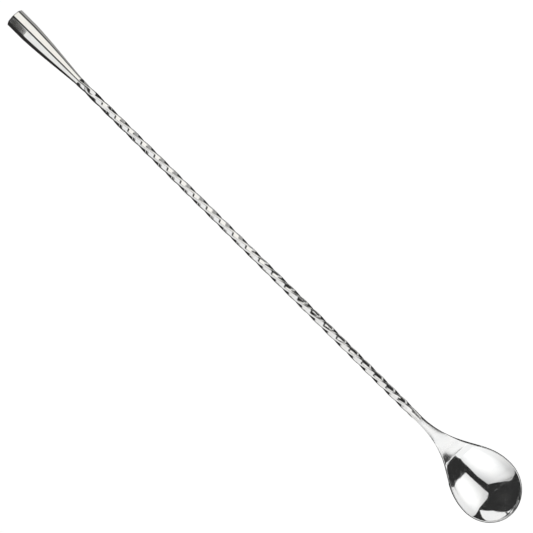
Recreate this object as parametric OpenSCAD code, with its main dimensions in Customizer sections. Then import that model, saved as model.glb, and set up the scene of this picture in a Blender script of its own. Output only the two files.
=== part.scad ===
// Bar spoon: a teardrop bowl, a left-hand twisted square shank and an eight-sided end weight.
// The three pieces are joined by round tenons in blind sockets.
// X runs along the spoon with the bowl at +X, and the bowl opens along +Z.
// The origin is under the middle of the spoon, on the surface that the spoon lies on.

/* [Overall] */
// Length from the end of the weight to the tip of the bowl
spoon_len = 300; // [260:1:360]

/* [End weight] */
// Length of the weight
weight_len = 39; // [32:1:46]
// Length of the straight part of the weight
weight_straight = 9; // [5:0.5:14]
// Width of the weight across its corners
weight_d = 9; // [8:0.1:10]
// Width across its corners where it meets the shank
weight_small_d = 3.8; // [3.7:0.1:4.2]
// Slope of the taper where it leaves the straight part
taper_start_slope = 0.04; // [0:0.01:0.06]
// Slope of the taper where it meets the shank
taper_end_slope = 0.093; // [0.07:0.001:0.11]
// Chamfer round the end face
weight_chamfer = 0.4; // [0.2:0.1:0.8]

/* [Shank] */
// Width of the square bar across its flats
bar_w = 3.2; // [2.8:0.1:3.4]
// Radius of the bar's corners
bar_corner_r = 0.9; // [0.4:0.1:1.2]
// Length of one full turn of the twist
twist_pitch = 31.4; // [24:0.1:48]
// Length of one full turn where the twist starts at the weight
twist_pitch_weight = 40; // [24:0.1:60]
// Length over which the twist gets up to its even pitch
twist_run_in = 18; // [5:1:30]
// Length of one full turn where the twist ends at the bowl
twist_pitch_bowl = 28; // [20:0.1:48]
// Length over which the twist tightens towards the bowl
twist_tightening = 67; // [20:1:90]
// Angle of the bar's corner above the horizontal at the weight
twist_start = 3; // [0:1:89]
// Length over which the square bar turns round at the bowl
twist_fade = 8; // [4:1:14]

/* [Joints] */
// Diameter of the tenon in the weight
weight_tenon_d = 2.4; // [1.8:0.1:2.6]
// Length of the tenon in the weight
weight_tenon_len = 12; // [6:0.5:20]
// Diameter of the tenon in the neck
neck_tenon_d = 2; // [1.4:0.1:2.2]
// Length of the tenon in the neck
neck_tenon_len = 6.5; // [4:0.5:7]
// Space left at the bottom of each socket
socket_gap = 0.5; // [0.2:0.1:1]

/* [Bowl] */
// Width of the bowl
bowl_w = 28.8; // [26:0.1:32]
// Length from the widest place to the tip
bowl_front = 15.5; // [14:0.1:18]
// Length from the widest place back to the end of the neck
bowl_back = 40.5; // [38:0.1:46]
// Depth of the hollow below the rim
bowl_depth = 6.5; // [5.5:0.1:7]
// Thickness of the metal in the bowl
bowl_wall = 1; // [0.9:0.1:1.3]
// Width of the flat land round the rim
rim_land = 0.75; // [0.5:0.05:1]
// Diameter of the neck where it meets the shank
neck_d = 3.36; // [3:0.02:3.6]
// Fullness of the bowl behind its widest place
flank_fullness = 15.7; // [13:0.1:17]
// Length of the slender part of the neck
neck_slenderness = 21.2; // [18:0.1:23]
// Sideways set of the bowl against the shank, in degrees
bowl_set = 1.7; // [0:0.1:3]

/* [Hidden] */
steel = [0.78, 0.78, 0.77];
axis_z = weight_d / 2;
rim_z = bowl_wall + bowl_depth;
x_end = -spoon_len / 2;
x_weight = x_end + weight_len;
x_tip = spoon_len / 2;
x_widest = x_tip - bowl_front;
x_neck = x_widest - bowl_back;
weight_faces = 8;
half_face_angle = 180 / weight_faces;
taper_steps = 10;
cut_over = 1;

bar_steps = 168;
corner_steps = 4;
fade_end_r = neck_d / 2;

half_w = bowl_w / 2;
inner_half_w = half_w - rim_land;
inner_front = bowl_front - rim_land;
neck_r = neck_d / 2;
least_land = 0.05;
back_stations = 34;
front_stations = 20;
last_front_angle = 88;
ring_steps = 18;
round_power = 0.5;
outside_power = 0.65;
hollow_power = 0.75;

// Distances from the end of the neck between which each feature of the bowl comes in
side_rise = [2, 22];
crown_fade = [0, 16];
hollow_start = [8, 24];
thinning = [4, 22];
land_start = [8, 20];
belly_start = [0, 18];
set_start = [0, 24];

// Smooth step from 0 at range[0] to 1 at range[1]
function ease(range, v) =
    let (t = max(0, min(1, (v - range[0]) / (range[1] - range[0])))) t * t * (3 - 2 * t);

// Cubic curve through a and d, with b and c as its handles
function bezier(a, b, c, d, t) =
    pow(1 - t, 3) * a + 3 * t * pow(1 - t, 2) * b + 3 * t * t * (1 - t) * c + pow(t, 3) * d;

// Closed solid through a list of rings, each running from +Y over +Z, from low X to high X
module loft(rings) {
    n = len(rings[0]);
    last = len(rings) - 1;
    walls = [
        for (i = [0 : last - 1], j = [0 : n - 1])
            let (k = (j + 1) % n, a = i * n, b = a + n)
            each [[a + j, b + j, a + k], [a + k, b + j, b + k]]
    ];
    first_cap = [for (j = [0 : n - 1]) j];
    last_cap = [for (j = [n - 1 : -1 : 0]) last * n + j];
    polyhedron([for (ring = rings) each ring], concat(walls, [first_cap, last_cap]), convexity = 8);
}

// Round bar or bore along X on the spoon's axis, from x0 to x1
module round_along_x(d, x0, x1) {
    translate([x0, 0, axis_z]) rotate([0, 90, 0]) cylinder(d = d, h = x1 - x0, $fn = 64);
}

// ---- end weight ----

// Half width across the corners at t, from 0 at the start of the taper to 1 at the shank
function taper_r(t) =
    let (
        handle = (weight_len - weight_straight) / 3,
        r0 = weight_d / 2,
        r1 = weight_small_d / 2
    )
    bezier(r0, r0 - taper_start_slope * handle, r1 + taper_end_slope * handle, r1, t);

// Side view of one pair of opposite faces, as half of a closed outline
function face_edge() =
    let (
        flat = cos(half_face_angle),
        taper_len = weight_len - weight_straight,
        r0 = weight_d / 2
    )
    concat(
        [[x_end, r0 * flat - weight_chamfer], [x_end + weight_chamfer, r0 * flat]],
        [
            for (i = [0 : taper_steps])
                let (t = i / taper_steps)
                [x_end + weight_straight + t * taper_len, taper_r(t) * flat]
        ]
    );

module face_pair() {
    edge = face_edge();
    last = len(edge) - 1;
    mirrored = [for (i = [last : -1 : 0]) [edge[i][0], -edge[i][1]]];
    rotate([90, 0, 0]) linear_extrude(height = 2 * weight_d, center = true) polygon(concat(edge, mirrored));
}

module end_weight() {
    color(steel) difference() {
        translate([0, 0, axis_z])
            intersection_for(i = [0 : weight_faces / 2 - 1])
                rotate([(2 * i + 1) * half_face_angle, 0, 0]) face_pair();
        round_along_x(weight_tenon_d, x_weight - weight_tenon_len - socket_gap, x_weight + cut_over);
    }
}

// ---- twisted shank ----

// Angle that the bar has turned through between the weight and x
function turned(x) =
    let (
        even = 360 / twist_pitch,
        at_weight = 360 / twist_pitch_weight,
        at_bowl = 360 / twist_pitch_bowl,
        run_in = min(x - x_weight, twist_run_in),
        tightening = max(0, x - (x_neck - twist_tightening))
    )
    even * (x - x_weight)
    + (at_weight - even) * (run_in - run_in * run_in / (2 * twist_run_in))
    + (at_bowl - even) * tightening * tightening / (2 * twist_tightening);

// One cross-section of the bar, square with round corners, which turns round towards the neck
function bar_ring(x) =
    let (
        fade = ease([x_neck - twist_fade, x_neck], x),
        r = bar_corner_r + (fade_end_r - bar_corner_r) * fade,
        reach = (bar_w / 2 - bar_corner_r) * sqrt(2) * (1 - fade),
        lead = twist_start - turned(x)
    )
    [
        for (corner = [0 : 3], s = [0 : corner_steps])
            let (
                c = corner * 90 + lead,
                a = c + (s / corner_steps - 0.5) * 90
            )
            [x, reach * cos(c) + r * cos(a), axis_z + reach * sin(c) + r * sin(a)]
    ];

module twisted_shank() {
    color(steel) {
        loft([for (i = [0 : bar_steps]) bar_ring(x_weight + (x_neck - x_weight) * i / bar_steps)]);
        round_along_x(weight_tenon_d, x_weight - weight_tenon_len, x_weight + cut_over);
        round_along_x(neck_tenon_d, x_neck - cut_over, x_neck + neck_tenon_len);
    }
}

// ---- bowl and neck ----

// Place and half width behind the widest place: t is 0 at the neck's end and 1 at the widest place
function back_point(t) =
    bezier([x_neck, neck_r], [x_neck + neck_slenderness, neck_r],
        [x_widest - flank_fullness, half_w], [x_widest, half_w], t);

// Half width of the hollow behind the widest place, one land in from the outline
function back_inner(t) =
    let (
        p = back_point(t),
        step = back_point(t + 0.001) - back_point(t - 0.001),
        land = max(least_land, rim_land * ease(land_start, p[0] - x_neck)),
        slope = step[1] / step[0]
    )
    p[1] - land * sqrt(1 + slope * slope);

// Half width of the hollow in front of the widest place
function front_inner(x) =
    let (t = min(1, (x - x_widest) / inner_front)) inner_half_w * sqrt(1 - t * t);

// One cross-section of the bowl or neck, at x, with its outer and inner half widths
function bowl_ring(x, w, w_in) =
    let (
        q = x - x_neck,
        front = x > x_widest,
        side_z = axis_z + (rim_z - axis_z) * ease(side_rise, q),
        crown = neck_r * (1 - ease(crown_fade, q)),
        hollow = bowl_depth * pow(w_in / inner_half_w, 2 * hollow_power) * ease(hollow_start, q),
        thickness = bowl_wall + (neck_d - bowl_wall) * (1 - ease(thinning, q)),
        belly_power = round_power + (outside_power - round_power) * ease(belly_start, q),
        belly = front ? rim_z * pow(w / half_w, 2 * outside_power) : hollow - crown + thickness,
        y0 = (x_widest - x) * tan(bowl_set) * ease(set_start, q)
    )
    concat(
        [[x, y0 + w, side_z]],
        [
            for (i = [0 : ring_steps])
                let (
                    y = w_in * cos(i * 180 / ring_steps),
                    inside = max(0, 1 - pow(y / w_in, 2))
                )
                [x, y0 + y, side_z + crown * sqrt(1 - pow(y / w, 2)) - hollow * pow(inside, hollow_power)]
        ],
        [[x, y0 - w, side_z]],
        [
            for (i = [ring_steps - 1 : -1 : 1])
                let (y = w * cos(i * 180 / ring_steps))
                [x, y0 + y, side_z - belly * pow(1 - pow(y / w, 2), belly_power)]
        ]
    );

module spoon_bowl() {
    back = [
        for (i = [0 : back_stations])
            let (t = i / back_stations, p = back_point(t))
            bowl_ring(p[0], p[1], back_inner(t))
    ];
    front = [
        for (i = [1 : front_stations])
            let (
                a = last_front_angle * i / front_stations,
                x = x_widest + bowl_front * sin(a),
                w = half_w * cos(a)
            )
            bowl_ring(x, w, max(0.02 * w, front_inner(x)))
    ];
    color(steel) difference() {
        loft(concat(back, front));
        round_along_x(neck_tenon_d, x_neck - cut_over, x_neck + neck_tenon_len + socket_gap);
    }
}

spoon_bowl();
twisted_shank();
end_weight();
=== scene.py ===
"""Bar spoon in polished stainless steel: the looks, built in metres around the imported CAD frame."""

import math

import bmesh
import bpy
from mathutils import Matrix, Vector


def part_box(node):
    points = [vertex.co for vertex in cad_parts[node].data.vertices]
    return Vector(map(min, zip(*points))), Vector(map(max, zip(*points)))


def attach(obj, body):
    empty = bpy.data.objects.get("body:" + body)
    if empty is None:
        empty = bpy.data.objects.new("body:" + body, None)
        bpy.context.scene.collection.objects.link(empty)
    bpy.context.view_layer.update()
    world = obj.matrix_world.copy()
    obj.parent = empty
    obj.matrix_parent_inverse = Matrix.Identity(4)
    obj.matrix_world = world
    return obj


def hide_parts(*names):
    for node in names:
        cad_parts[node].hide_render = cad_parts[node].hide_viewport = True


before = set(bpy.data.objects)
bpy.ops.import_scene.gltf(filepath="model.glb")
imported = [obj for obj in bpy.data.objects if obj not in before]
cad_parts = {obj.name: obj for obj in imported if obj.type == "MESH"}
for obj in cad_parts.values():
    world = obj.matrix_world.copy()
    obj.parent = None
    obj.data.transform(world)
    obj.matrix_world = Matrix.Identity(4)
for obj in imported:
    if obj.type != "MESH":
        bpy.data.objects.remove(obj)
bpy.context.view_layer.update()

# ---- places taken from the frame ----

BOX_MARGIN = 0.00002
WEIGHT_LOW, WEIGHT_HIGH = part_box("end_weight")
BOWL_LOW, BOWL_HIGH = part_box("spoon_bowl")
SHANK_LOW, SHANK_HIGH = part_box("twisted_shank")
X_END = WEIGHT_LOW.x
X_WEIGHT = WEIGHT_HIGH.x
X_NECK = BOWL_LOW.x
X_TIP = BOWL_HIGH.x
AXIS_Z = (WEIGHT_LOW.z + WEIGHT_HIGH.z) / 2
RIM_Z = BOWL_HIGH.z
TABLE_Z = WEIGHT_LOW.z
HALF_W = (BOWL_HIGH.y - BOWL_LOW.y) / 2 - BOX_MARGIN

# ---- sizes of the pieces, in metres ----

WEIGHT_R = (WEIGHT_HIGH.z - WEIGHT_LOW.z) / 2
WEIGHT_SMALL_R = 0.0019
WEIGHT_STRAIGHT = 0.009
TAPER_START_SLOPE = 0.04
TAPER_END_SLOPE = 0.093
WEIGHT_RIDGE_R = 0.0012
LARGEST_RIDGE_SHARE = 0.42
WEIGHT_CREASE = 0.00006
WEIGHT_END_ROUND = 0.00036
WEIGHT_NECK_ROUND = 0.00012

BAR_W = 0.0032
BAR_CORNER_R = 0.0009
TWIST_PITCH = 0.0314
TWIST_PITCH_WEIGHT = 0.040
TWIST_RUN_IN = 0.018
TWIST_PITCH_BOWL = 0.028
TWIST_TIGHTENING = 0.067
TWIST_START = math.radians(3)
TWIST_FADE_BEFORE = 0.009

TENON_R_WEIGHT = 0.0012
TENON_R_NECK = 0.0010
SOCKET_GAP = 0.0005
SOCKET_SLACK = 0.00001

BOWL_FRONT = 0.0155
FLANK_FULLNESS = 0.0157
NECK_SLENDERNESS = 0.0212
NECK_R = 0.00168
NECK_D = 2 * NECK_R
BOWL_WALL = 0.001
BOWL_DEPTH = RIM_Z - BOWL_WALL - TABLE_Z
RIM_LAND = 0.00075
RIM_ROUND_W = 0.00064
RIM_ROUND_H = 0.0008
RIM_INNER_ROUND = 0.00008
BOWL_SET = math.radians(1.7)
OUTSIDE_POWER = 0.65
HOLLOW_POWER = 0.75
WALL_START = 0.86
WALL_LOSS = (1 - WALL_START ** 2) ** HOLLOW_POWER
WALL_LOSS -= 2 * HOLLOW_POWER * WALL_START * (1 - WALL_START ** 2) ** (HOLLOW_POWER - 1) * (1 - WALL_START)
STEEP_START = (0.1, 0.42)
STEEP_FADE = (math.radians(110), math.radians(150))
STEEP_LOSS = 0.3
X_WIDEST = X_TIP - BOWL_FRONT

# Distances from the neck's end over which each feature of the bowl comes in
SIDE_RISE = (0.002, 0.022)
CROWN_FADE = (0.0, 0.016)
HOLLOW_START = (0.008, 0.024)
THINNING = (0.004, 0.022)
RIM_START = (0.008, 0.020)
BELLY_START = (0.0, 0.018)
SET_START = (0.0, 0.024)
LEAST_RIM = 0.04
ROUND_POWER = 0.5

SHARP_ANGLE = math.radians(50)
SAME_PLACE = 1e-7
SLIVER = 1e-6


def ease(low, high, v):
    """Smooth step from 0 at low to 1 at high."""
    t = max(0.0, min(1.0, (v - low) / (high - low)))
    return t * t * (3 - 2 * t)


def bezier(a, b, c, d, t):
    """Cubic curve from a to d with the handles b and c."""
    return (1 - t) ** 3 * a + 3 * t * (1 - t) ** 2 * b + 3 * t * t * (1 - t) * c + t ** 3 * d


# ---- mesh helpers ----

def add_piece(name, node, points, faces, material):
    """Makes a smooth closed mesh that stands for one CAD node."""
    mesh = bpy.data.meshes.new(name)
    mesh.from_pydata(points, [], faces)
    mesh.validate()
    mesh.shade_smooth()
    mesh.set_sharp_from_angle(angle=SHARP_ANGLE)
    piece = bpy.data.objects.new(name, mesh)
    bpy.context.scene.collection.objects.link(piece)
    mesh.materials.append(material)
    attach(piece, "root")
    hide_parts(node)
    return piece


def ring_faces(count, n):
    """Quads between count rings of n points each, with a flat cap at both ends."""
    faces = []
    for i in range(count - 1):
        for j in range(n):
            k = (j + 1) % n
            faces.append((i * n + j, (i + 1) * n + j, (i + 1) * n + k, i * n + k))
    faces.append(tuple(range(n)))
    faces.append(tuple((count - 1) * n + j for j in reversed(range(n))))
    return faces


# ---- end weight ----

def taper_r(t):
    """Half width across the corners: t is 0 at the start of the taper and 1 at the shank."""
    handle = (X_WEIGHT - X_END - WEIGHT_STRAIGHT) / 3
    start = WEIGHT_R - TAPER_START_SLOPE * handle
    end = WEIGHT_SMALL_R + TAPER_END_SLOPE * handle
    return bezier(WEIGHT_R, start, end, WEIGHT_SMALL_R, t)


def octagon_ring(x, corner_r, inset):
    """One eight-sided ring with rounded corners and a ridge at the top."""
    arc_steps = 6
    support = 0.00008
    half = math.radians(22.5)
    outer = corner_r - inset / math.cos(half)
    r = min(WEIGHT_RIDGE_R, LARGEST_RIDGE_SHARE * outer)
    reach = outer - r / math.cos(half)
    points = []
    for corner in range(8):
        middle = math.radians(90 + 45 * corner)
        for s in range(-1, arc_steps + 2):
            a = middle - half + 2 * half * min(max(s, 0), arc_steps) / arc_steps
            y = reach * math.cos(middle) + r * math.cos(a)
            z = reach * math.sin(middle) + r * math.sin(a)
            beyond = support if s > arc_steps else (-support if s < 0 else 0)
            y -= beyond * math.sin(a)
            z += beyond * math.cos(a)
            points.append(Vector((x, y, AXIS_Z + z)))
    return points


def round_ring(x, r, like):
    """A round ring with its points at the same angles as those of another ring."""
    points = []
    for p in like:
        a = math.atan2(p.z - AXIS_Z, p.y)
        points.append(Vector((x, r * math.cos(a), AXIS_Z + r * math.sin(a))))
    return points


def weight_rings():
    """Rings from the end face along the outside and into the socket."""
    arc_steps = 5
    taper_steps = 48
    face_support = 0.0003
    rings = [octagon_ring(X_END, WEIGHT_R, WEIGHT_END_ROUND + face_support)]
    for s in range(arc_steps + 1):
        a = math.pi / 2 * s / arc_steps
        x = X_END + WEIGHT_END_ROUND * (1 - math.cos(a))
        inset = WEIGHT_END_ROUND * (1 - math.sin(a))
        rings.append(octagon_ring(x, WEIGHT_R, inset))
    crease = X_END + WEIGHT_STRAIGHT
    for x in (X_END + WEIGHT_END_ROUND + face_support, crease - WEIGHT_CREASE):
        rings.append(octagon_ring(x, WEIGHT_R, 0))
    taper_start = crease + WEIGHT_CREASE
    taper_end = X_WEIGHT - WEIGHT_NECK_ROUND
    for i in range(taper_steps + 1):
        x = taper_start + (taper_end - taper_start) * i / taper_steps
        r = taper_r((x - crease) / (X_WEIGHT - crease))
        rings.append(octagon_ring(x, r, 0))
    for s in range(1, arc_steps + 1):
        a = math.pi / 2 * s / arc_steps
        x = taper_end + WEIGHT_NECK_ROUND * math.sin(a)
        inset = WEIGHT_NECK_ROUND * (1 - math.cos(a))
        rings.append(octagon_ring(x, WEIGHT_SMALL_R, inset))
    like = rings[-1]
    socket_end = SHANK_LOW.x - SOCKET_GAP
    rings.append(round_ring(X_WEIGHT, TENON_R_WEIGHT + SOCKET_SLACK, like))
    rings.append(round_ring(socket_end, TENON_R_WEIGHT + SOCKET_SLACK, like))
    return rings


def make_weight(material):
    rings = weight_rings()
    points = [p for ring in rings for p in ring]
    faces = ring_faces(len(rings), len(rings[0]))
    return add_piece("weight_skin", "end_weight", points, faces, material)


# ---- twisted shank ----

def turned(x):
    """Angle that the bar has turned through between the weight and x."""
    even = 2 * math.pi / TWIST_PITCH
    at_weight = 2 * math.pi / TWIST_PITCH_WEIGHT
    at_bowl = 2 * math.pi / TWIST_PITCH_BOWL
    run_in = min(x - X_WEIGHT, TWIST_RUN_IN)
    tightening = max(0.0, x - (X_NECK - TWIST_TIGHTENING))
    angle = even * (x - X_WEIGHT)
    angle += (at_weight - even) * (run_in - run_in ** 2 / (2 * TWIST_RUN_IN))
    angle += (at_bowl - even) * tightening ** 2 / (2 * TWIST_TIGHTENING)
    return angle


def bar_ring(x):
    """One cross-section of the bar: square with round corners, turning round at the neck."""
    corner_steps = 8
    fade = ease(X_NECK - TWIST_FADE_BEFORE, X_NECK, x)
    r = BAR_CORNER_R + (NECK_R - BAR_CORNER_R) * fade
    reach = (BAR_W / 2 - BAR_CORNER_R) * math.sqrt(2) * (1 - fade)
    lead = TWIST_START - turned(x)
    points = []
    for corner in range(4):
        c = corner * math.pi / 2 + lead
        for s in range(corner_steps + 1):
            a = c + (s / corner_steps - 0.5) * math.pi / 2
            y = reach * math.cos(c) + r * math.cos(a)
            z = reach * math.sin(c) + r * math.sin(a)
            points.append(Vector((x, y, AXIS_Z + z)))
    return points


def make_shank(material):
    steps = 900
    length = X_NECK - X_WEIGHT
    bar = [bar_ring(X_WEIGHT + length * i / steps) for i in range(steps + 1)]
    rings = [round_ring(SHANK_LOW.x, TENON_R_WEIGHT, bar[0])]
    rings.append(round_ring(X_WEIGHT, TENON_R_WEIGHT, bar[0]))
    rings += bar
    rings.append(round_ring(X_NECK, TENON_R_NECK, bar[-1]))
    rings.append(round_ring(SHANK_HIGH.x, TENON_R_NECK, bar[-1]))
    points = [p for ring in rings for p in ring]
    faces = ring_faces(len(rings), len(rings[0]))
    piece = add_piece("shank_skin", "twisted_shank", points, faces, material)
    weld(piece)
    return piece


# ---- bowl and neck ----

def back_point(t):
    """Place and half width behind the widest place: t is 0 at the neck's end and 1 at the widest place."""
    x = bezier(X_NECK, X_NECK + NECK_SLENDERNESS, X_WIDEST - FLANK_FULLNESS, X_WIDEST, t)
    w = bezier(NECK_R, NECK_R, HALF_W, HALF_W, t)
    return x, w


def bowl_middle(x):
    """How far the bowl's own middle line is off the spoon's at x."""
    return (X_WIDEST - x) * math.tan(BOWL_SET)


def straight_wall(s):
    """Depth of the hollow at a share s of its half width: a round bottom that runs into straight walls."""
    if s <= WALL_START:
        return (1 - s * s) ** HOLLOW_POWER - WALL_LOSS
    room = 1 - WALL_START * WALL_START
    slope = 2 * HOLLOW_POWER * WALL_START * room ** (HOLLOW_POWER - 1)
    return slope * (1 - s)


def round_wall(s):
    """The same with a wall that goes on getting steeper up to the rim."""
    reach = math.sqrt(1 - WALL_LOSS ** (1 / HOLLOW_POWER))
    return (1 - (s * reach) ** 2) ** HOLLOW_POWER - WALL_LOSS


def back_profile(t, side):
    """Profile on one side behind the widest place, with t as in back_point."""
    step = 0.001
    x, w = back_point(t)
    xa, wa = back_point(t - step)
    xb, wb = back_point(t + step)
    spread = math.sqrt(1 + ((wb - wa) / (xb - xa)) ** 2)
    q = x - X_NECK
    rim = max(LEAST_RIM, ease(*RIM_START, q))
    side_z = AXIS_Z + (RIM_Z - AXIS_Z) * ease(*SIDE_RISE, q)
    crown = NECK_R * (1 - ease(*CROWN_FADE, q))
    w_in = w - RIM_LAND * rim * spread
    hollow = BOWL_DEPTH * (w_in / (HALF_W - RIM_LAND)) ** (2 * HOLLOW_POWER) * ease(*HOLLOW_START, q)
    thickness = BOWL_WALL + (NECK_D - BOWL_WALL) * (1 - ease(*THINNING, q))
    power = ROUND_POWER + (OUTSIDE_POWER - ROUND_POWER) * ease(*BELLY_START, q)
    belly = hollow - crown + thickness
    y0 = bowl_middle(x) * ease(*SET_START, q)

    def place(share, inset):
        return x, y0 + side * (w - inset * spread) * share

    def top(y):
        return crown * math.sqrt(max(0, 1 - ((y - y0) / w) ** 2))

    return profile(place, top, side_z, belly, hollow, power, rim, 0.0)


def front_profile(a):
    """Profile in front of the widest place: a runs from 0 over the tip at 90 to 180 degrees."""
    def place(share, inset):
        x = X_WIDEST + (BOWL_FRONT - inset) * math.sin(a) * share
        y = (HALF_W - inset) * math.cos(a) * share
        return x, y + bowl_middle(x)

    def top(y):
        return 0.0

    steep = ease(*STEEP_START, math.sin(a)) * (1 - STEEP_LOSS * ease(*STEEP_FADE, a))
    return profile(place, top, RIM_Z, RIM_Z - TABLE_Z, BOWL_DEPTH, OUTSIDE_POWER, 1.0, steep)


def profile(place, top, side_z, belly, hollow, power, rim, steep):
    """One side of a cross-section, from the bottom of the belly round the rim to the bottom of the hollow.

    Place gives x and y from a share of the half width and an inset. Top gives the height of the neck's
    crown over the rim's level.
    """
    belly_steps = 40
    round_steps = 10
    hollow_steps = 52
    round_w = RIM_ROUND_W * rim
    round_h = RIM_ROUND_H * rim
    inner = RIM_INNER_ROUND * rim
    land = RIM_LAND * rim
    points = []
    for i in range(belly_steps + 1):
        a = math.pi / 2 * i / belly_steps
        x, y = place(math.sin(a), 0)
        deep = (belly - round_h) * max(0.0, math.cos(a)) ** (2 * power)
        points.append(Vector((x, y, side_z - round_h - deep)))
    for i in range(1, round_steps + 1):
        a = math.pi / 2 * i / round_steps
        x, y = place(1, round_w * (1 - math.cos(a)))
        points.append(Vector((x, y, side_z - round_h * (1 - math.sin(a)) + top(y))))
    for i in range(round_steps + 1):
        a = math.pi / 2 * i / round_steps
        x, y = place(1, land - inner * (1 - math.sin(a)))
        points.append(Vector((x, y, side_z - inner * (1 - math.cos(a)) + top(y))))
    for i in reversed(range(hollow_steps)):
        a = math.pi / 2 * i / hollow_steps
        x, y = place(math.sin(a), land)
        share = math.sin(a)
        deep = max(0, hollow - inner) * ((1 - steep) * straight_wall(share) + steep * round_wall(share))
        points.append(Vector((x, y, side_z - inner - deep + top(y))))
    return points


def make_bowl(material):
    back_steps = 110
    front_steps = 160
    stations = [back_profile(i / back_steps, 1) for i in range(back_steps)]
    stations += [front_profile(math.pi * i / front_steps) for i in range(front_steps + 1)]
    stations += [back_profile(i / back_steps, -1) for i in reversed(range(back_steps))]
    m = len(stations[0])
    points = [p for station in stations for p in station]
    faces = []
    for i in range(len(stations) - 1):
        for j in range(m - 1):
            a = i * m + j
            faces.append((a, a + 1, a + m + 1, a + m))
    rim_ring = stations[0] + stations[-1][::-1]
    ring_start = len(points)
    x_socket = SHANK_HIGH.x + SOCKET_GAP
    mouth = round_ring(X_NECK, TENON_R_NECK + SOCKET_SLACK, rim_ring)
    bottom = round_ring(x_socket, TENON_R_NECK + SOCKET_SLACK, rim_ring)
    n = len(rim_ring)
    for ring in (rim_ring, mouth, bottom):
        points += ring
    for i in range(2):
        for j in range(n):
            k = (j + 1) % n
            a = ring_start + i * n
            faces.append((a + j, a + k, a + n + k, a + n + j))
    faces.append(tuple(ring_start + 2 * n + j for j in range(n)))
    piece = add_piece("bowl_skin", "spoon_bowl", points, faces, material)
    weld(piece)
    return piece


def weld(piece):
    """Joins points that lie on each other, takes out slivers and turns every face outwards."""
    bm = bmesh.new()
    bm.from_mesh(piece.data)
    bmesh.ops.remove_doubles(bm, verts=bm.verts, dist=SAME_PLACE)
    bmesh.ops.dissolve_degenerate(bm, edges=bm.edges, dist=SLIVER)
    bmesh.ops.recalc_face_normals(bm, faces=bm.faces)
    bm.to_mesh(piece.data)
    bm.free()
    piece.data.shade_smooth()
    piece.data.set_sharp_from_angle(angle=SHARP_ANGLE)


# ---- materials ----

CLOUD_SIZE = (0.006, 0.006, 0.006)
HAZE_SIZE = (0.012, 0.009, 0.009)
STRAY_SCRATCH = (0.011, 0.00016, 0.0004)
STRAY_TURN = (0, 0, 0.35)
CROSSING_SCRATCH = (0.008, 0.00014, 0.0004)
CROSSING_TURN = (0, 0, -0.8)
COOLER = (0.95, 0.96, 0.975)
HAZE_ROUGHNESS = 0.05
SCRATCH_ROUGHNESS = 0.16
BUMP_STRENGTH = 0.06
BUMP_HEIGHT = 0.00002


def polished_steel(name, colour, gloss, grain, satin=None):
    """Polished stainless steel with buffing lines, stray scratches and a haze of handling.

    Grain is the length, width and height of one buffing line in metres. Satin is a place on the x axis that
    has a softer polish, the place where that polish has faded out, and its added roughness.
    """
    mat = bpy.data.materials.new(name)
    mat.use_nodes = True
    nodes = mat.node_tree.nodes
    links = mat.node_tree.links
    shader = nodes["Principled BSDF"]
    shader.inputs["Metallic"].default_value = 1.0
    coords = nodes.new("ShaderNodeTexCoord").outputs["Object"]

    def noise(size, detail, turn=(0, 0, 0)):
        mapping = nodes.new("ShaderNodeMapping")
        mapping.vector_type = "TEXTURE"
        mapping.inputs["Rotation"].default_value = turn
        mapping.inputs["Scale"].default_value = size
        links.new(coords, mapping.inputs["Vector"])
        texture = nodes.new("ShaderNodeTexNoise")
        texture.inputs["Scale"].default_value = 1.0
        texture.inputs["Detail"].default_value = detail
        texture.inputs["Roughness"].default_value = 0.6
        links.new(mapping.outputs["Vector"], texture.inputs["Vector"])
        return texture.outputs["Fac"]

    def spread(value, low, high, at_low, at_high):
        remap = nodes.new("ShaderNodeMapRange")
        remap.interpolation_type = "SMOOTHSTEP"
        remap.inputs["From Min"].default_value = low
        remap.inputs["From Max"].default_value = high
        remap.inputs["To Min"].default_value = at_low
        remap.inputs["To Max"].default_value = at_high
        links.new(value, remap.inputs["Value"])
        return remap.outputs["Result"]

    def total(first, second):
        plus = nodes.new("ShaderNodeMath")
        plus.operation = "ADD"
        links.new(first, plus.inputs[0])
        links.new(second, plus.inputs[1])
        return plus.outputs["Value"]

    clouds = noise(CLOUD_SIZE, 5)
    lines = noise(grain, 6)
    haze = noise(HAZE_SIZE, 4)
    stray = noise(STRAY_SCRATCH, 2, STRAY_TURN)
    crossing = noise(CROSSING_SCRATCH, 2, CROSSING_TURN)
    scratches = total(spread(stray, 0.66, 0.72, 0, 1), spread(crossing, 0.68, 0.74, 0, 1))

    tint = nodes.new("ShaderNodeValToRGB")
    cool = [full * share for full, share in zip(colour, COOLER)] + [1]
    tint.color_ramp.elements[0].position = 0.3
    tint.color_ramp.elements[0].color = cool
    tint.color_ramp.elements[1].position = 0.65
    tint.color_ramp.elements[1].color = [*colour, 1]
    links.new(clouds, tint.inputs["Fac"])
    links.new(tint.outputs["Color"], shader.inputs["Base Color"])

    buffing = spread(lines, 0.3, 0.7, gloss * 0.7, gloss * 1.5)
    roughness = total(buffing, spread(haze, 0.5, 0.72, 0, HAZE_ROUGHNESS))
    roughness = total(roughness, spread(scratches, 0, 1, 0, SCRATCH_ROUGHNESS))
    if satin:
        soft_place, faded_place, softness = satin
        along = nodes.new("ShaderNodeSeparateXYZ")
        links.new(coords, along.inputs["Vector"])
        roughness = total(roughness, spread(along.outputs["X"], soft_place, faded_place, softness, 0))
    links.new(roughness, shader.inputs["Roughness"])

    bump = nodes.new("ShaderNodeBump")
    bump.inputs["Strength"].default_value = BUMP_STRENGTH
    bump.inputs["Distance"].default_value = BUMP_HEIGHT
    links.new(total(lines, scratches), bump.inputs["Height"])
    links.new(bump.outputs["Normal"], shader.inputs["Normal"])
    return mat


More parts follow.
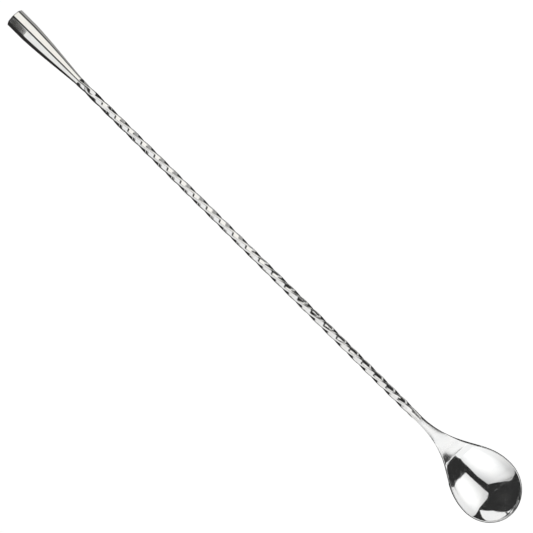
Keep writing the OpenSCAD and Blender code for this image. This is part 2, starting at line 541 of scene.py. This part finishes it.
def bowl_steel():
    """Mirror polish, with a softer polish on the neck that fades out at the hollow."""
    grain = (0.0017, 0.0017, 0.0017)
    satin = (X_NECK + 0.014, X_NECK + 0.024, 0.24)
    return polished_steel("steel_bowl", (0.84, 0.84, 0.83), 0.05, grain, satin)


def shank_steel():
    """Drawn and polished bar, buffed along its length, with a softer polish where it meets the neck."""
    grain = (0.008, 0.0011, 0.0011)
    satin = (X_NECK, X_NECK - 0.012, 0.18)
    return polished_steel("steel_shank", (0.84, 0.83, 0.81), 0.07, grain, satin)


def weight_steel():
    """Polished steel with long fine grinding lines along the faces."""
    grain = (0.016, 0.0004, 0.0004)
    return polished_steel("steel_weight", (0.82, 0.81, 0.78), 0.07, grain)


def plain_surface(name, colour, glow):
    """Matt surface that also glows a little, for the floor."""
    mat = bpy.data.materials.new(name)
    mat.use_nodes = True
    shader = mat.node_tree.nodes["Principled BSDF"]
    shader.inputs["Base Color"].default_value = (*colour, 1)
    shader.inputs["Roughness"].default_value = 1.0
    shader.inputs["Specular IOR Level"].default_value = 0.0
    shader.inputs["Emission Color"].default_value = (*colour, 1)
    shader.inputs["Emission Strength"].default_value = glow
    return mat


def glowing(name, glow, tint, falloff=None):
    """Light from a card. A falloff has its bright point, two distances from it and the share left there."""
    mat = bpy.data.materials.new(name)
    mat.use_nodes = True
    nodes = mat.node_tree.nodes
    links = mat.node_tree.links
    shader = nodes["Principled BSDF"]
    shader.inputs["Base Color"].default_value = (0, 0, 0, 1)
    shader.inputs["Specular IOR Level"].default_value = 0.0
    shader.inputs["Emission Color"].default_value = (*tint, 1)
    shader.inputs["Emission Strength"].default_value = glow
    if falloff:
        bright_point, near, far, left = falloff
        coords = nodes.new("ShaderNodeTexCoord")
        away = nodes.new("ShaderNodeVectorMath")
        away.operation = "DISTANCE"
        away.inputs[1].default_value = bright_point
        links.new(coords.outputs["Object"], away.inputs[0])
        fade = nodes.new("ShaderNodeMapRange")
        fade.interpolation_type = "SMOOTHSTEP"
        fade.inputs["From Min"].default_value = near
        fade.inputs["From Max"].default_value = far
        fade.inputs["To Min"].default_value = glow
        fade.inputs["To Max"].default_value = glow * left
        links.new(away.outputs["Value"], fade.inputs["Value"])
        links.new(fade.outputs["Result"], shader.inputs["Emission Strength"])
    return mat


# ---- studio ----

MM = 0.001
DOME_R = 4.0
FLOOR_REACH = 6.0
WHITE = (1, 1, 1)
DARK = 0.03
BRIGHT = 1.1
COLLAR_DISTANCE = 0.0016
COLLAR_OVER_RIM = 0.0011
COLLAR_OVER_NECK = 0.0034
COLLAR_UNDER_TABLE = 0.001
COLLAR_STEPS = 40
COLLAR_END_STEP = 26


def add_stage(name, corners, faces, material, seen, reflected):
    """One stage surface, with whether the camera and the reflections meet it."""
    mesh = bpy.data.meshes.new(name)
    mesh.from_pydata(corners, [], faces)
    mesh.materials.append(material)
    thing = bpy.data.objects.new(name, mesh)
    bpy.context.scene.collection.objects.link(thing)
    thing.visible_camera = seen
    thing.visible_glossy = reflected
    thing.visible_diffuse = seen
    thing.visible_shadow = False
    return thing


def add_card(name, corners, glow, tint=WHITE):
    """A flat card that only the reflections meet."""
    return add_stage(name, corners, [tuple(range(len(corners)))], glowing(name, glow, tint), False, True)


def on_dome(a, b):
    """The point of the dome that lies a degrees toward +X and b degrees toward +Y from straight up."""
    angle = math.radians(math.hypot(a, b))
    turn = math.atan2(b, a)
    flat = DOME_R * math.sin(angle)
    return (flat * math.cos(turn), flat * math.sin(turn), DOME_R * math.cos(angle))


def dome_span(degrees):
    """Straight distance across the dome between two directions this many degrees apart."""
    return 2 * DOME_R * math.sin(math.radians(degrees) / 2)


def add_dome_card(name, outline, glow, falloff=None):
    """A far light card that follows the dome. Its outline is in degrees from straight up."""
    side_steps = 12
    rings = 10
    middle_a = sum(p[0] for p in outline) / len(outline)
    middle_b = sum(p[1] for p in outline) / len(outline)
    rim = []
    for (a0, b0), (a1, b1) in zip(outline, outline[1:] + outline[:1]):
        for s in range(side_steps):
            k = s / side_steps
            rim.append((a0 + (a1 - a0) * k, b0 + (b1 - b0) * k))
    n = len(rim)
    corners = [on_dome(middle_a, middle_b)]
    for r in range(1, rings + 1):
        share = r / rings
        for a, b in rim:
            corners.append(on_dome(middle_a + (a - middle_a) * share, middle_b + (b - middle_b) * share))
    faces = [(0, 1 + j, 1 + (j + 1) % n) for j in range(n)]
    for r in range(rings - 1):
        inner = 1 + r * n
        outer = inner + n
        for j in range(n):
            k = (j + 1) % n
            faces.append((inner + j, outer + j, outer + k, inner + k))
    return add_stage(name, corners, faces, glowing(name, glow, WHITE, falloff), False, True)


def add_flat_card(name, height, outline, glow, tint=WHITE):
    """A level card. Its height and outline are in millimetres."""
    corners = [(x * MM, y * MM, height * MM) for x, y in outline]
    return add_card(name, corners, glow, tint)


def add_flag(name, start, end, low, high, glow):
    """A standing card from start to end on the table, between two heights, in millimetres."""
    corners = [(start[0] * MM, start[1] * MM, low * MM)]
    corners.append((end[0] * MM, end[1] * MM, low * MM))
    corners.append((end[0] * MM, end[1] * MM, high * MM))
    corners.append((start[0] * MM, start[1] * MM, high * MM))
    return add_card(name, corners, glow)


def add_cross_card(name, x, outline, glow):
    """A standing card square to the spoon. Its place and its outline, across and up, are in millimetres."""
    corners = [(x * MM, y * MM, z * MM) for y, z in outline]
    return add_card(name, corners, glow)


def add_collar(name, distance, glow):
    """A low card that stands around the rim and the far side of the neck."""
    over_rim = RIM_Z + COLLAR_OVER_RIM
    over_neck = AXIS_Z + COLLAR_OVER_NECK
    edge = []
    for i in range(COLLAR_STEPS + 1):
        x, w = back_point(i / COLLAR_STEPS)
        top_z = over_neck + (over_rim - over_neck) * ease(*SIDE_RISE, x - X_NECK)
        edge.append((x, bowl_middle(x) + w + distance, top_z))
    for i in range(1, COLLAR_STEPS + 1):
        a = math.pi * i / COLLAR_STEPS
        x = X_WIDEST + (BOWL_FRONT + distance) * math.sin(a)
        edge.append((x, (HALF_W + distance) * math.cos(a), over_rim))
    for i in reversed(range(COLLAR_END_STEP, COLLAR_STEPS)):
        x, w = back_point(i / COLLAR_STEPS)
        edge.append((x, bowl_middle(x) - w - distance, over_rim))
    corners = [(x, y, TABLE_Z - COLLAR_UNDER_TABLE) for x, y, z in edge] + edge
    n = len(edge)
    faces = [(i, i + 1, n + i + 1, n + i) for i in range(n - 1)]
    return add_stage(name, corners, faces, glowing(name, glow, WHITE), False, True)


def make_floor():
    """The pale floor, which the camera sees and the reflections don't."""
    r = FLOOR_REACH
    corners = [(-r, -r, TABLE_Z), (r, -r, TABLE_Z), (r, r, TABLE_Z), (-r, r, TABLE_Z)]
    surface = plain_surface("pale_floor", (0.85, 0.85, 0.85), 1.17)
    add_stage("floor", corners, [(0, 1, 2, 3)], surface, True, False)


def make_far_cards():
    """The two large soft lights that the bowl reflects, and a dim one for the weight's straight end."""
    right = [(12.7, -5.9), (-1.1, -29.1), (-16.6, -58.5), (-1.6, -85), (0, -90), (60, -90), (110, -60),
             (100, 8), (50.6, 6.5), (42.8, -0.2), (28, -0.5)]
    left = [(-0.9, 7.7), (41, 14.2), (43, 31.8), (50, 60), (60, 105), (2, 105), (-1.5, 80), (-6, 60),
            (-9.5, 41.4), (-8.5, 24)]
    add_dome_card("card_right", right, 1.3, (on_dome(46, -38), dome_span(13), dome_span(62), 0.36))
    add_dome_card("card_left", left, 1.3, (on_dome(30, 47), dome_span(8), dome_span(46), 0.6))
    add_dome_card("dim_end", [(-40, -25), (-5, -25), (-5, -75), (-40, -75)], 0.06)


def make_cards_above():
    """A light on each side over the shank and the weight, and the screens that end them at the neck."""
    front = [(92, -35), (-27, -570), (-225, -570), (-225, -30)]
    back = [(60, 55), (45, 400), (0, 700), (-125, 700), (-125, 430), (-400, 430), (-400, 40)]
    add_flat_card("card_over_front", 320, front, 1.02, (0.98, 0.99, 1.0))
    add_flat_card("card_over_back", 320, back, BRIGHT, (1.0, 0.99, 0.96))
    add_flag("flag_back", (97, 2), (60, 700), 16, 320, DARK)
    add_flag("flag_front_dark", (98, -2), (-19, -560), 16, 320, DARK)
    add_flag("flag_front_light", (97, -2), (-20, -560), 16, 320, 0.95)
    add_flat_card("card_over_neck", 30, [(86, 10), (114, 10), (114, -15), (86, -15)], BRIGHT)


def make_cards_at_bowl():
    """Cards across the start of the hollow: light on the neck's side, dark with light bars on the other."""
    back_of_flag = [(-15, 12), (0.4, 11), (0.8, 14), (2, 19), (4.5, 28), (11, 50), (20, 70), (-15, 70)]
    flag = [(-15, 12), (0.5, 12), (0.5, 9), (60, 9), (60, 60), (40, 60), (20, 70), (-15, 70)]
    bar = [(3.2, 20), (15.5, 32.6), (80, 64), (48, 24), (30, 9), (13, 9), (3.2, 13)]
    add_cross_card("back_of_flag", 120.2, back_of_flag, BRIGHT)
    add_cross_card("low_back_of_flag", 120.2, [(0.4, 7.5), (0.4, 11.6), (15, 11.6), (15, 7.5)], BRIGHT)
    add_cross_card("flag_at_bowl", 120.5, flag, DARK)
    add_cross_card("bar_at_bowl", 121, bar, 1.05)
    add_cross_card("bar_end_at_bowl", 121, [(-2.4, 14.3), (1.8, 17.6), (1.8, 13.5)], 1.05)
    add_cross_card("faint_bar_at_bowl", 121, [(-6, 15.6), (-2.4, 14.6), (-2.4, 14), (-6, 14.6)], 0.15)


def make_small_cards():
    """Small cards close to the shank and the weight, and the dark collar round the bowl."""
    light_at_weight = [(-8, 12), (4, 9), (60, 17), (90, 60), (-50, 55)]
    add_flag("grey_beside_shank", (-94, 40), (-12, 40), 3, 26, 0.4)
    add_flat_card("flag_over_weight", 14, [(-156, -3.2), (-105, -4.2), (-105, 4.2), (-156, 3.2)], DARK)
    add_cross_card("light_at_weight", -107.5, light_at_weight, 1.0)
    add_flat_card("flag_over_shank", 110, [(12, 8), (38, 8), (38, 200), (12, 200)], DARK)
    add_collar("collar", COLLAR_DISTANCE, DARK)


def make_papers():
    """Papers just under the table's level, for the sides that reflect downwards."""
    add_flat_card("paper_beside_shank", -1, [(-98, 22), (-10, 22), (-10, 500), (-98, 500)], 0.5)
    add_flat_card("paper_front", -1, [(-104, -55), (112, -55), (112, -500), (-104, -500)], 1.0)
    add_flat_card("paper_beside_neck", -1, [(92, -4), (120, -4), (120, -60), (92, -60)], 1.0)
    add_flat_card("paper_tip", -1, [(138, -500), (400, -500), (400, 12), (152, 12), (138, -10)], 1.0)
    add_flat_card("paper_end", -1, [(-400, 0), (-104, 0), (-104, 14), (-400, 14)], 0.4)
    add_flat_card("paper_back", -1, [(118, 10), (152, 12), (400, 12), (400, 500), (118, 500)], 0.25)


def make_room():
    """The dark room around the cards."""
    world = bpy.data.worlds.new("room")
    bpy.context.scene.world = world
    world.use_nodes = True
    background = world.node_tree.nodes["Background"]
    background.inputs["Color"].default_value = (DARK, DARK, DARK, 1)
    background.inputs["Strength"].default_value = 1.0


def make_studio():
    make_floor()
    make_far_cards()
    make_cards_above()
    make_cards_at_bowl()
    make_small_cards()
    make_papers()
    make_room()


def make_camera():
    """Straight above the spoon, with the weight at the upper left and the bowl at the lower right."""
    aim_shift = Vector((0.0015, 0.00033, 0))
    aim = Vector(((X_END + X_TIP) / 2, 0, AXIS_Z)) + aim_shift
    distance = 0.683
    frame_width = 0.2277
    turn = math.radians(44.818)
    camera_data = bpy.data.cameras.new("camera")
    camera_data.type = "PERSP"
    camera_data.sensor_width = 36.0
    camera_data.lens = camera_data.sensor_width * distance / frame_width
    camera_data.clip_start = 0.01
    camera_data.clip_end = 100.0
    camera = bpy.data.objects.new("camera", camera_data)
    bpy.context.scene.collection.objects.link(camera)
    camera.location = aim + Vector((0, 0, distance))
    camera.rotation_euler = (0, 0, turn)
    bpy.context.scene.camera = camera


def set_picture():
    scene = bpy.context.scene
    scene.view_settings.view_transform = "Standard"
    scene.view_settings.look = "None"
    scene.cycles.use_denoising = True


make_camera()
make_bowl(bowl_steel())
make_shank(shank_steel())
make_weight(weight_steel())
make_studio()
set_picture()
